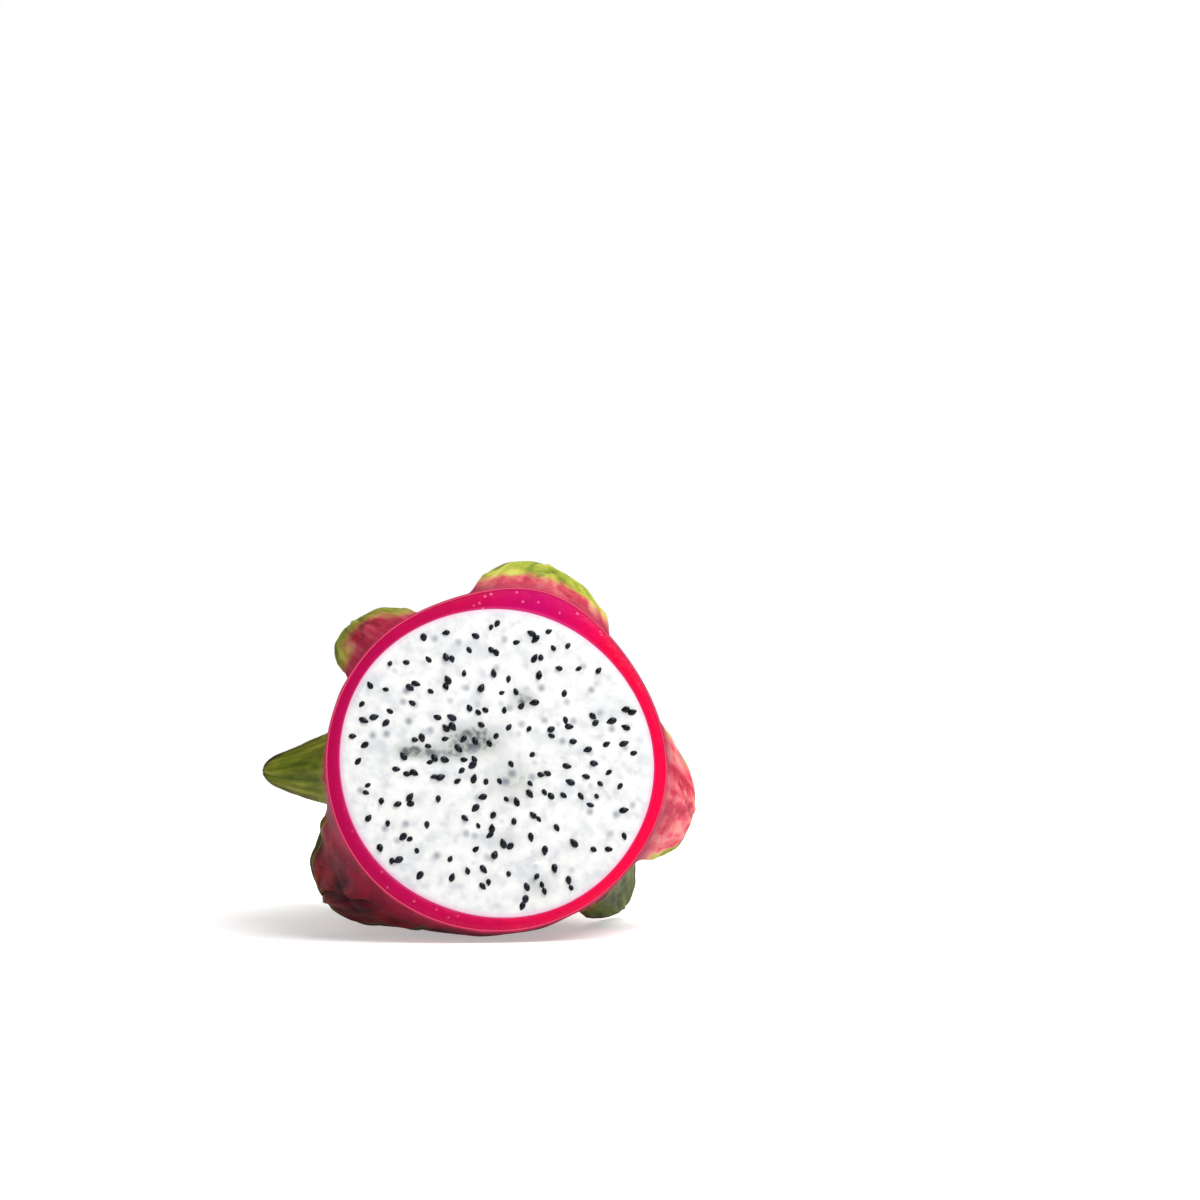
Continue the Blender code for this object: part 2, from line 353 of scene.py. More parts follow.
def eased(values, low, high):
    """0 at low, 1 at high, and smooth between them."""
    part = np.clip((values - low) / (high - low), 0, 1)
    return part * part * (3 - 2 * part)


def crease_peel(mesh):
    """Keels, furrows and wavy margins on the bracts, and low unevenness all over."""
    rows, normals = rows_of(mesh.vertices, "co"), rows_of(mesh.vertex_normals, "vector")
    along, across = values_of(mesh, "along"), values_of(mesh, "across")
    fold, inner = values_of(mesh, "fold"), values_of(mesh, "inner")
    # One face of a bract rises where the other sinks, so that its thickness stays.
    facing = 1 - 2 * eased(inner, 0.3, 0.7)
    grown = eased(along, 0.02, 0.3)
    keel = np.exp(-((across / 0.10) ** 2)) * (1 - 0.5 * along)
    furrows = np.sin(across * 7.5 + 2.5 * along) * (1 - across**2) + 0.5 * np.sin(across * 17 + 1.0)
    waves = np.sin(along * 13 + across * 3) * np.abs(across) ** 3
    # Two sharp creases: one slants down the bract, and a short one crosses it.
    long_crease = np.exp(-(((across - 0.42 + 0.75 * along) / 0.06) ** 2)) * eased(along, 0.1, 0.3)
    short_crease = np.exp(-(((along - 0.52 - 0.25 * across) / 0.05) ** 2)) * np.exp(-((across / 0.35) ** 2))
    creases = long_crease + 0.5 * short_crease
    shape = 0.50 * keel + 0.25 * furrows + 0.55 * waves - 0.85 * creases
    lift = facing * grown * fold * shape * MM
    uneven = [noise.noise(Vector(row) / (9 * MM)) for row in rows]
    fine = [noise.noise(Vector(row) / (2.6 * MM)) for row in rows]
    lift += 0.35 * MM * np.array(uneven) * (1 - grown) + 0.07 * MM * np.array(fine) * (1 - grown)
    # The rim stays in the plane of the cut.
    lift *= eased(rows[:, 1], 0.0, 3 * MM)
    move_to(mesh, rows + normals * lift[:, None])
    # Where creases and furrows sink in, the skin's colour is later darkened there: painted shade.
    crease_shade = mesh.attributes.new("crease_shade", "FLOAT", "POINT")
    painted_crease_shade = grown * fold * (creases + 0.25 * np.clip(-furrows, 0, 1))
    crease_shade.data.foreach_set("value", painted_crease_shade.astype(np.float32))


def wall_inside(mesh):
    """Closes the peel: its cut edge, and an inner wall that follows the body a little way in."""
    bm = bmesh.new()
    bm.from_mesh(mesh)
    cut = bm.verts.layers.float.new("cut")
    rim = {v for e in bm.edges if e.is_boundary for v in e.verts}
    ring = sorted(rim, key=lambda v: atan2(v.co.z, v.co.x))
    around = [(atan2(v.co.z, v.co.x), hypot(v.co.x, v.co.z)) for v in ring]
    # How far in from the body's side each ring lies, and how far from the cut.
    path = [(SKIN_EDGE, 0.0), (0.9 * MM, 2 * MM)]
    path += [(WALL_DEPTH, share * HALF_LENGTH) for share in (0.15, 0.35, 0.55, 0.70, 0.82, 0.90)]
    for inset, along in path:
        ring = next_ring(bm, ring)
        plain = side_point(along / HALF_LENGTH)[0]
        # The rim's own outline fades into the plain body within a few millimetres.
        proud = exp(-((along / (4 * MM)) ** 2))
        for vert, (angle, outer) in zip(ring, around):
            radius = plain - inset + (outer - CUT_RADIUS) * proud
            vert.co = (radius * cos(angle), along, radius * sin(angle))
            vert[cut] = along == 0
    bmesh.ops.contextual_create(bm, geom=ring)
    bmesh.ops.recalc_face_normals(bm, faces=bm.faces)
    bm.to_mesh(mesh)
    bm.free()
    return np.array(around)


def press_down(mesh):
    """Stands the peel up and presses it onto the table: the body flat, and bracts bent along it."""
    mesh.transform(standing)
    rows = rows_of(mesh.vertices, "co")
    knee = 2 * MM  # below this height a bract bends along the table
    height = rows[:, 2]
    bent = np.where(height < knee, knee * np.exp(np.minimum(height / knee - 1, 0)), height)
    soft = eased(values_of(mesh, "along"), 0.0, 0.3)
    rows[:, 2] = np.maximum(height, 0) * (1 - soft) + bent * soft
    move_to(mesh, rows)


def linear(colour):
    """A colour written as sRGB hex, such as "d81e5b", as linear RGBA."""
    channels = [int(colour[k : k + 2], 16) / 255 for k in (0, 2, 4)]
    return [c / 12.92 if c <= 0.04045 else ((c + 0.055) / 1.055) ** 2.4 for c in channels] + [1.0]


def node(tree, kind, inputs=(), stops=(), **settings):
    """Adds a node: its settings, a ramp's stops, and its inputs by name or in order.

    An input is a value, a socket, or a node whose first output it is linked to.
    """
    made = tree.nodes.new("ShaderNode" + kind)
    for name, value in settings.items():
        setattr(made, name, value)
    for k, (position, colour) in enumerate(stops):
        stop = made.color_ramp.elements[k] if k < 2 else made.color_ramp.elements.new(position)
        stop.position = position
        stop.color = linear(colour)
    sockets = [socket for socket in made.inputs if socket.enabled]
    named = inputs if isinstance(inputs, dict) else dict(enumerate(inputs))
    for key, value in named.items():
        socket = sockets[key] if isinstance(key, int) else next(s for s in sockets if s.name == key)
        if isinstance(value, bpy.types.Node):
            value = next(output for output in value.outputs if output.enabled)
        if isinstance(value, bpy.types.NodeSocket):
            tree.links.new(value, socket)
        else:
            socket.default_value = value
    return made


def blank_material(name):
    """A new material with an empty node tree, and that tree."""
    made = bpy.data.materials.new(name)
    made.use_nodes = True
    made.node_tree.nodes.clear()
    return made, made.node_tree


def waxy_fruit_skin():
    """Waxy fruit skin, as grown: red on the body, running to green at the bracts' edges and tips.

    Pigment lies in blotches and in streaks along each bract, tips dry brown in patches, and the
    wax gives a soft gloss with a fine pebbled grain. Each bract is painted darker or lighter by how
    it is lit. Creases and a thin line along each margin are painted shade, and cream streaks on the
    most lit bracts are partly painted sheen.
    """
    material, tree = blank_material("waxy_fruit_skin")
    spot = node(tree, "TexCoord").outputs["Object"]
    along, across, inner, edge, green, rim, blush, foot, crease_shade, cut = (
        node(tree, "Attribute", attribute_name=name).outputs["Fac"]
        for name in ("along", "across", "inner", "edge", "green", "rim", "blush", "foot", "crease_shade", "cut")
    )
    # Blotches about 9 mm across, and grain about 1 mm.
    blotch = node(tree, "TexNoise", {"Vector": spot, "Scale": 1 / (9 * MM), "Detail": 3.0})
    grain = node(tree, "TexNoise", {"Vector": spot, "Scale": 1 / (1.1 * MM), "Detail": 2.0})
    # Streaks along a bract, about 8 across its width.
    place = node(tree, "CombineXYZ", (across, along, blotch))
    stretched = node(tree, "Mapping", {"Vector": place, "Scale": (4.0, 1.3, 2.0)})
    streak = node(tree, "TexNoise", {"Vector": stretched, "Scale": 1.0, "Detail": 3.0})

    body = node(tree, "ValToRGB", [blotch], stops=((0.28, "7a0a2c"), (0.72, "bd2450"), (0.50, "9a1239")))
    # How lit each bract is painted sets its red: dark red is painted shade, salmon pink is painted light.
    shaded_red = node(tree, "ValToRGB", [streak], stops=((0.32, "3a0208"), (0.68, "9c0d26"), (0.50, "6a0515")))
    light = node(tree, "ValToRGB", [streak], stops=((0.32, "c41a3e"), (0.68, "ff8f9c"), (0.50, "f04362")))
    leaf = node(tree, "Mix", (blush, shaded_red, light), data_type="RGBA")
    # The bract's own red begins a little way down the body, where its base spreads out.
    on_leaf = node(tree, "MapRange", {"Value": along, "From Max": 0.45, "To Min": 0.45})
    on_leaf = node(tree, "Math", (on_leaf, foot), operation="MULTIPLY")
    red = node(tree, "Mix", (on_leaf, body, leaf), data_type="RGBA")
    # On the bracts painted most lit, cream streaks and spots are partly bleaching and partly painted sheen.
    ragged = node(tree, "TexNoise", {"Vector": spot, "Scale": 1 / (2.8 * MM), "Detail": 3.0})
    spots = node(tree, "Math", (streak, ragged), operation="ADD")
    bleach_and_sheen = node(tree, "MapRange", {"Value": spots, "From Min": 0.90, "From Max": 1.20, "To Max": 0.45})
    lit_bract = node(tree, "MapRange", {"Value": blush, "From Min": 0.70, "From Max": 1.0})
    bleach_and_sheen = node(tree, "Math", (bleach_and_sheen, lit_bract), operation="MULTIPLY")
    bleach_and_sheen = node(tree, "Math", (bleach_and_sheen, on_leaf), operation="MULTIPLY")
    red = node(tree, "Mix", (bleach_and_sheen, red, linear("f2b296")), data_type="RGBA")
    flecks = node(tree, "MapRange", {"Value": grain, "From Min": 0.62, "From Max": 0.85, "To Max": 0.25})
    red = node(tree, "Mix", (flecks, red, linear("d9708a")), data_type="RGBA")

    # Its green likewise runs from dark olive, painted shade, to yellow-green, painted light.
    shaded_green = node(tree, "ValToRGB", [streak], stops=((0.30, "2b3802"), (0.70, "6d7a06"), (0.50, "4d5a02")))
    fresh = node(tree, "ValToRGB", [streak], stops=((0.32, "758a12"), (0.68, "d8d45e"), (0.50, "a9b22c")))
    leafy = node(tree, "Mix", (blush, shaded_green, fresh), data_type="RGBA")
    # Green starts nearer the foot on a greener bract, and its start is ragged.
    start = node(tree, "Math", (green, -0.95, 1.02), operation="MULTIPLY_ADD")
    uneven = node(tree, "Math", (streak, 0.5, along), operation="MULTIPLY_ADD")
    ripe = node(tree, "Math", (uneven, start), operation="SUBTRACT")
    tip = node(tree, "MapRange", {"Value": ripe, "From Min": 0.13, "From Max": 0.47})
    # Red still runs out into the foot in streaks, but not so far on the greenest bracts.
    hurry = node(
        tree, "MapRange", {"Value": green, "From Min": 0.9, "From Max": 1.4, "To Min": 1.0, "To Max": 3.0}
    )
    risen = node(tree, "Math", (streak, along), operation="MULTIPLY")
    risen = node(tree, "Math", (risen, hurry), operation="MULTIPLY")
    risen = node(tree, "MapRange", {"Value": risen, "From Max": 0.16}, interpolation_type="SMOOTHSTEP")
    tip = node(tree, "Math", (tip, risen), operation="MULTIPLY")
    # The margin is green too, over the width that "rim" gives.
    share = node(tree, "Math", (edge, rim), operation="DIVIDE")
    frayed = node(tree, "Math", (ragged, 0.9, share), operation="MULTIPLY_ADD")
    margin = node(tree, "MapRange", {"Value": frayed, "From Min": 1.85, "From Max": 0.90})
    grown = node(tree, "MapRange", {"Value": along, "From Max": 0.40}, interpolation_type="SMOOTHSTEP")
    margin = node(tree, "Math", (margin, grown), operation="MULTIPLY")
    greenness = node(tree, "Math", (tip, margin), operation="MAXIMUM")
    colour = node(tree, "Mix", (greenness, red, leafy), data_type="RGBA")
    # Where red turns green, the skin is a pale yellow.
    turning = node(
        tree, "ValToRGB", [greenness], stops=((0.25, "000000"), (0.85, "000000"), (0.55, "808080"))
    )
    colour = node(tree, "Mix", (turning, colour, linear("d3b35c")), data_type="RGBA")
    # The inner face is paler.
    inside = node(tree, "MapRange", {"Value": inner, "From Min": 0.3, "From Max": 0.8, "To Max": 0.45})
    inside = node(tree, "Math", (inside, on_leaf), operation="MULTIPLY")
    colour = node(tree, "Mix", (inside, colour, linear("c2c77c")), data_type="RGBA")
    # Creases and furrows are painted darker: painted shade.
    painted_crease_shade = node(tree, "MapRange", {"Value": crease_shade, "From Min": 0.1, "From Max": 1.0, "To Max": 0.75})
    colour = node(tree, "Mix", (painted_crease_shade, colour, linear("300410")), data_type="RGBA")
    # A thin dark line along each margin is painted shade, weaker on the bracts painted as lit. Near the tips
    # the edges also dry brown, in patches.
    edge_shade = node(tree, "MapRange", {"Value": edge, "From Min": 1.1, "From Max": 0.1, "To Max": 0.6})
    shaded_bract = node(
        tree, "MapRange", {"Value": blush, "From Min": 0.2, "From Max": 0.7, "To Min": 1.0, "To Max": 0.1}
    )
    edge_shade = node(tree, "Math", (edge_shade, shaded_bract), operation="MULTIPLY")
    dry_and_edge_shade = node(tree, "MapRange", {"Value": edge, "From Min": 1.2, "From Max": 0.3})
    patchy = node(tree, "MapRange", {"Value": blotch, "From Min": 0.40, "From Max": 0.56})
    late = node(tree, "MapRange", {"Value": along, "From Min": 0.45, "From Max": 0.90})
    dry_and_edge_shade = node(tree, "Math", (dry_and_edge_shade, patchy), operation="MULTIPLY")
    dry_and_edge_shade = node(tree, "Math", (dry_and_edge_shade, late), operation="MULTIPLY")
    dry_and_edge_shade = node(tree, "Math", (dry_and_edge_shade, edge_shade), operation="MAXIMUM")
    colour = node(tree, "Mix", (dry_and_edge_shade, colour, linear("3a210f")), data_type="RGBA")
    # Where the knife cut the skin, it is a lighter pink.
    colour = node(tree, "Mix", (cut, colour, linear("ea5078")), data_type="RGBA")

    pebbles = node(tree, "TexNoise", {"Vector": spot, "Scale": 1 / (0.8 * MM), "Detail": 3.0})
    ribs = node(tree, "Math", (streak, on_leaf), operation="MULTIPLY")
    relief = node(tree, "Math", (ribs, 2.5, pebbles), operation="MULTIPLY_ADD")
    bump = node(tree, "Bump", {"Height": relief, "Strength": 0.30, "Distance": 0.25 * MM})
    rough = node(tree, "MapRange", {"Value": blotch, "To Min": 0.40, "To Max": 0.56})
    surface = {"Base Color": colour, "Roughness": rough, "IOR": 1.25, "Normal": bump}
    depth = {"Subsurface Weight": 0.05, "Subsurface Radius": (1.0, 0.35, 0.2)}
    depth["Subsurface Scale"] = 1.2 * MM
    shader = node(tree, "BsdfPrincipled", surface | depth)
    node(tree, "OutputMaterial", {"Surface": shader})
    return material


def finished(name, mesh, material):
    """A piece of the fruit: its mesh, smooth and with its material, in an object at the origin."""
    mesh.name = name
    mesh.shade_smooth()
    mesh.set_sharp_from_angle(angle=SHARP_ANGLE)
    mesh.materials.clear()
    mesh.materials.append(material)
    piece = bpy.data.objects.new(name, mesh)
    bpy.context.scene.collection.objects.link(piece)
    return piece


peel_mesh = smoothed(peel_cage(), PEEL_SMOOTHING)
crease_peel(peel_mesh)
rim_line = wall_inside(peel_mesh)
press_down(peel_mesh)
peel = finished("peel", peel_mesh, waxy_fruit_skin())
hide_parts("dragon_fruit_half")
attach(peel, "root")


# ----------------------------------------------------------------------------
# The rind: the firm, wet, crimson layer between the skin and the flesh, some 3 to 6 mm thick. It
# shows as a ring round the cut, with pale dots where its sap vessels were cut through. It is a
# bowl, extruded ring by ring, that fills the room between the skin's inside and the flesh.
# ----------------------------------------------------------------------------
FLESH_RADIUS = 41.3 * MM
LAYER_GAP = 0.03 * MM  # between the layers, so that their faces don't meet
RIND_BACK = 1.4 * MM  # from the plain body in to the rind's outer side, just inside the peel's wall
RIND_RINGS = 14  # across the cut
AROUND = 480  # columns of the rind and the flesh
BOWL = (0.04, 0.12, 0.25, 0.40, 0.55, 0.68, 0.78, 0.86)  # shares of the length with a ring


def flesh_edge(angle):
    """The flesh's radius at the cut: nearly round, a little flatter at the lower left."""
    lobes = 0.35 * cos(angle - 0.3) + 0.40 * cos(2 * angle + 1.0) + 0.15 * cos(5 * angle)
    return FLESH_RADIUS + lobes * MM


def skin_inside(angle):
    """The radius just inside the skin's cut edge."""
    return float(np.interp(angle, rim_line[:, 0], rim_line[:, 1], period=2 * pi)) - SKIN_EDGE


def layered(path, place):
    """A closed mesh made of rings. Each step of the path is a ring, and place gives its points."""
    bm = bmesh.new()
    first = bmesh.ops.create_circle(bm, cap_ends=True, segments=AROUND, radius=1.0)["verts"]
    ring = sorted(first, key=lambda v: atan2(v.co.y, v.co.x) % (2 * pi))
    for k, step in enumerate(path):
        ring = next_ring(bm, ring) if k else ring
        for column, vert in enumerate(ring):
            vert.co = place(2 * pi * column / AROUND, *step)
    bmesh.ops.contextual_create(bm, geom=ring)
    bmesh.ops.recalc_face_normals(bm, faces=bm.faces)
    return bm


def lumps(point, size):
    """Soft unevenness of a wet cut face, between about -1 and 1, with lumps of this size."""
    return noise.noise(point / size) + 0.4 * noise.noise(point / (0.4 * size))


def rind_point(angle, out, share):
    """A point of the rind: out is 0 at the flesh and 1 at the skin, share 0 at the cut."""
    along = share * HALF_LENGTH
    shrink = side_point(share)[0] / CUT_RADIUS
    inner = flesh_edge(angle) * shrink + LAYER_GAP
    outer = skin_inside(angle) if share == 0 else side_point(share)[0] - RIND_BACK
    radius = inner + (outer - LAYER_GAP - inner) * out
    point = Vector((radius * cos(angle), along, radius * sin(angle)))
    if share == 0:
        # Softer than the skin, it stands a little back from it and is slightly domed.
        point.y = 0.25 * MM * (1 - sin(pi * out)) + 0.10 * MM * lumps(point, 3 * MM) * sin(pi * out)
    return point


def wet_fruit_rind():
    """Wet fruit rind, cut with a knife: crimson, more magenta where it is thick, with a moist gloss.

    Pale dots under 1 mm across, some 2 mm apart, are the sap vessels.
    """
    material, tree = blank_material("wet_fruit_rind")
    spot = node(tree, "TexCoord").outputs["Object"]
    out, right, thick = (
        node(tree, "Attribute", attribute_name=name).outputs["Fac"] for name in ("out", "right", "thick")
    )
    mottle = node(tree, "TexNoise", {"Vector": spot, "Scale": 1 / (3 * MM), "Detail": 4.0})
    # The rind is painted brighter towards its right, as if lit from there: painted light. The mottling in it
    # is its own.
    side = node(tree, "Math", (mottle, 0.35, right), operation="MULTIPLY_ADD")
    colour = node(tree, "ValToRGB", [side], stops=((0.30, "b4004c"), (1.00, "f40042"), (0.65, "ca004a")))
    deep = node(tree, "MapRange", {"Value": thick, "From Min": 3.9, "From Max": 6.5, "To Max": 0.5})
    colour = node(tree, "Mix", (deep, colour, linear("b4007c")), data_type="RGBA")
    seam = node(tree, "MapRange", {"Value": out, "From Min": 0.16, "From Max": 0.0, "To Max": 0.55})
    colour = node(tree, "Mix", (seam, colour, linear("e84f93")), data_type="RGBA")
    vessels = node(tree, "TexVoronoi", {"Vector": spot, "Scale": 1 / (2.3 * MM)})
    dots = node(tree, "MapRange", {"Value": vessels, "From Min": 0.20, "From Max": 0.08, "To Max": 0.6})
    middle = node(tree, "MapRange", {"Value": thick, "From Min": 3.4, "From Max": 4.8})
    dots = node(tree, "Math", (dots, middle), operation="MULTIPLY")
    colour = node(tree, "Mix", (dots, colour, linear("f29ab8")), data_type="RGBA")
    fibres = node(tree, "TexNoise", {"Vector": spot, "Scale": 1 / (0.7 * MM), "Detail": 3.0})
    bump = node(tree, "Bump", {"Height": fibres, "Strength": 0.4, "Distance": 0.2 * MM})
    surface = {"Base Color": colour, "Roughness": 0.30, "IOR": 1.37, "Normal": bump}
    surface["Specular IOR Level"] = 0.3
    depth = {"Subsurface Weight": 0.15, "Subsurface Radius": (1.0, 0.15, 0.3)}
    depth["Subsurface Scale"] = 1.0 * MM
    shader = node(tree, "BsdfPrincipled", surface | depth)
    node(tree, "OutputMaterial", {"Surface": shader})
    return material


def with_values(bm, values):
    """The bmesh stood up as a mesh, with float attributes worked out from each point of it."""
    bm.verts.index_update()
    layers = {name: bm.verts.layers.float.new(name) for name in values}
    for vert in bm.verts:
        for name, value_at in values.items():
            vert[layers[name]] = value_at(vert.co)
    bm.transform(standing)
    return mesh_of(bm, "layer")


def rind_thickness(point):
    """The rind's thickness at the cut, in millimetres, at this point's angle."""
    angle = atan2(point.z, point.x)
    return (skin_inside(angle) - flesh_edge(angle)) / MM


def rind_out(point):
    """0 at the flesh and 1 at the skin."""
    return (hypot(point.x, point.z) - flesh_edge(atan2(point.z, point.x))) / MM / rind_thickness(point)


rind_path = [(0.0, share) for share in reversed(BOWL)]
rind_path += [(k / RIND_RINGS, 0.0) for k in range(RIND_RINGS + 1)]
rind_path += [(1.0, share) for share in BOWL]
rind_values = {
    "out": rind_out,
    # How far right a point lies, which the rind's colour uses to paint it brighter there: painted light.
    "right": lambda point: 0.5 + point.x / (2 * CUT_RADIUS),
    "thick": rind_thickness,
}
rind = finished("rind", with_values(layered(rind_path, rind_point), rind_values), wet_fruit_rind())
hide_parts("dragon_fruit_half")
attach(rind, "root")


# ----------------------------------------------------------------------------
# The flesh: the crisp, translucent white pulp that fills the fruit, full of seeds. The knife left
# it nearly flat and wet. It is extruded ring by ring from the middle of the cut to its edge, and
# then back along the inside of the rind.
# ----------------------------------------------------------------------------
FLESH_RINGS = 74  # across the cut
CLOUDS = (  # greyish places in the pulp: across and up from the cut's middle, both spreads, strength
    (-22.5, 3.0, 5.0, 2.0, 1.0),
    (-14.0, 2.0, 6.0, 2.0, 0.6),
    (-6.0, 6.0, 8.0, 4.0, 1.1),
    (4.0, -5.0, 7.0, 6.0, 0.6),
    (7.5, 16.5, 3.5, 3.0, 0.9),
    (2.0, -21.0, 5.0, 3.0, 0.5),
    (11.0, -33.0, 4.0, 3.0, 0.6),
)


def flesh_point(angle, out, share):
    """A point of the flesh: out is 0 in the middle and 1 at its side, share 0 at the cut."""
    radius = flesh_edge(angle) * side_point(share)[0] / CUT_RADIUS - LAYER_GAP
    point = Vector((radius * out * cos(angle), share * HALF_LENGTH, radius * out * sin(angle)))
    if share == 0:
        uneven = 0.16 * lumps(point, 6 * MM) + 0.05 * lumps(point + Vector((0, 1, 0)), 1.5 * MM)
        # The pulp is swollen with juice, and rounds off where it meets the rind.
        point.y = (uneven * (1 - out**12) - 0.35 * (1 - out**2) + 0.30 * out**30) * MM
    return point


def cloudiness(point):
    """How grey the pulp is at this point."""
    total = 0.0
    for x, z, wide, high, strength in CLOUDS:
        total += strength * exp(-(((point.x / MM - x) / wide) ** 2) - ((point.z / MM - z) / high) ** 2)
    return min(1.0, total)


def crisp_fruit_pulp():
    """Crisp fruit pulp, cut with a knife: white and translucent, wet, with grey clouds.

    Blurred dark spots are seeds that lie under the cut, and a pink tinge comes in from the rind.
    """
    material, tree = blank_material("crisp_fruit_pulp")
    spot = node(tree, "TexCoord").outputs["Object"]
    edge, cloud = (
        node(tree, "Attribute", attribute_name=name).outputs["Fac"] for name in ("edge", "cloud")
    )
    # Cells of pulp some 3 mm across, in clouds some 8 mm across.
    pulp = node(tree, "TexNoise", {"Vector": spot, "Scale": 1 / (3.2 * MM), "Detail": 4.0})
    drift = node(tree, "TexNoise", {"Vector": spot, "Scale": 1 / (8 * MM), "Detail": 2.0})
    colour = node(tree, "ValToRGB", [pulp], stops=((0.30, "d9dbde"), (0.62, "f5f6f4"), (0.45, "ebeceb")))
    dull = node(tree, "MapRange", {"Value": drift, "From Min": 0.56, "From Max": 0.70, "To Max": 0.6})
    colour = node(tree, "Mix", (dull, colour, linear("d0d5da")), data_type="RGBA")
    patch = node(tree, "Math", (cloud, pulp), operation="MULTIPLY")
    patch = node(tree, "MapRange", {"Value": patch, "From Min": 0.05, "From Max": 0.45, "To Max": 0.7})
    colour = node(tree, "Mix", (patch, colour, linear("a3a79f")), data_type="RGBA")
    # Dark shreds about 1.5 mm across in the clouds, such as bits of seed coat.
    shreds = node(tree, "TexNoise", {"Vector": spot, "Scale": 1 / (1.5 * MM), "Detail": 3.0})
    shreds = node(tree, "Math", (cloud, shreds), operation="MULTIPLY")
    shreds = node(tree, "MapRange", {"Value": shreds, "From Min": 0.30, "From Max": 0.55, "To Max": 0.85})
    colour = node(tree, "Mix", (shreds, colour, linear("525a5f")), data_type="RGBA")
    # Seeds under the cut, one for each cell of some 5.4 mm, blurred by the pulp over them.
    buried = node(tree, "TexVoronoi", {"Vector": spot, "Scale": 1 / (5.4 * MM)})
    blur = node(tree, "Math", (cloud, -0.10, buried), operation="MULTIPLY_ADD")
    shade = node(tree, "MapRange", {"Value": blur, "From Min": 0.26, "From Max": 0.02, "To Max": 0.75})
    clear = node(tree, "MapRange", {"Value": edge, "From Min": 2.0, "From Max": 4.5})
    shade = node(tree, "Math", (shade, clear), operation="MULTIPLY")
    colour = node(tree, "Mix", (shade, colour, linear("6c7586")), data_type="RGBA")
    tinge = node(tree, "MapRange", {"Value": edge, "From Min": 1.4, "From Max": 0.0, "To Max": 0.85})
    colour = node(tree, "Mix", (tinge, colour, linear("f7c6df")), data_type="RGBA")
    cells = node(tree, "TexNoise", {"Vector": spot, "Scale": 1 / (0.9 * MM), "Detail": 3.0})
    bump = node(tree, "Bump", {"Height": cells, "Strength": 0.35, "Distance": 0.25 * MM})
    surface = {"Base Color": colour, "Roughness": 0.28, "IOR": 1.36, "Normal": bump}
    depth = {"Subsurface Weight": 0.25, "Subsurface Radius": (1.0, 1.0, 1.0)}
    depth["Subsurface Scale"] = 1.5 * MM
    shader = node(tree, "BsdfPrincipled", surface | depth)
    node(tree, "OutputMaterial", {"Surface": shader})
    return material


flesh_path = [((k + 1) / (FLESH_RINGS + 1), 0.0) for k in range(FLESH_RINGS + 1)]
flesh_path += [(1.0, share) for share in BOWL]
flesh_values = {
    "edge": lambda point: (flesh_edge(atan2(point.z, point.x)) - hypot(point.x, point.z)) / MM,
    "cloud": cloudiness,
}
flesh = finished("flesh", with_values(layered(flesh_path, flesh_point), flesh_values), crisp_fruit_pulp())
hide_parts("dragon_fruit_half")
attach(flesh, "root")


# ----------------------------------------------------------------------------
# The seeds: small, hard, black and shiny, held in the pulp and bared by the knife. Each is a ball
# drawn out to a teardrop and half sunk in the flesh, and points more or less outwards or inwards.
# ----------------------------------------------------------------------------
SEED_COUNT = 178
SEED_LENGTH = 2.8 * MM
SEED_WIDTH = 1.8 * MM
SEED_SPACING = 3.15 * MM
SEED_FREE = 2.6 * MM  # width of the pulp's edge with no seeds
CROWDS = (  # where seeds lie closer: across and up from the cut's middle, spread, strength
    (-7.0, 5.0, 7.0, 1.3),
    (-21.0, 3.0, 3.5, 0.7),
    (8.0, 16.0, 3.5, 0.8),
    (4.0, -6.0, 5.0, 0.9),
    (-3.0, -23.0, 6.0, 0.5),
    (11.0, -34.0, 3.0, 0.7),
    (25.0, -4.0, 8.0, 0.3),
    (-34.0, 14.0, 4.0, 0.6),
)
UNCROWDED = 0.45  # the strength away from the crowds
PAIRED = 0.09  # chance, at each try, that the last seed gets another beside it
PAIR_DISTANCE = 0.65 * SEED_LENGTH
POINTS_INWARDS = 0.4  # share of the seeds that do


def seed_places(chance):
    """(across, up) of each seed's middle: spaced out, closer in the crowds, some in pairs."""
    places = []
    paired = False
    while len(places) < SEED_COUNT:
        angle = chance.uniform(-pi, pi)
        radius = sqrt(chance.random()) * (flesh_edge(angle) - SEED_FREE)
        x, z = radius * cos(angle), radius * sin(angle)
        if places and not paired and chance.random() < PAIRED:
            beside = chance.uniform(-pi, pi)
            x = places[-1][0] + PAIR_DISTANCE * cos(beside)
            z = places[-1][1] + PAIR_DISTANCE * sin(beside)
            apart = all((x - a) ** 2 + (z - b) ** 2 > SEED_SPACING**2 for a, b in places[:-1])
            if apart and hypot(x, z) < FLESH_RADIUS - SEED_FREE:
                places.append((x, z))
                paired = True
            continue
        crowd = UNCROWDED
        for cx, cz, spread, strength in CROWDS:
            crowd += strength * exp(-((x - cx * MM) ** 2 + (z - cz * MM) ** 2) / (spread * MM) ** 2)
        room = SEED_SPACING / sqrt(min(1.6, max(0.6, crowd / 0.6)))
        free = all((x - a) ** 2 + (z - b) ** 2 > room**2 for a, b in places)
        if free and chance.random() < crowd:
            places.append((x, z))
            paired = False
    return places


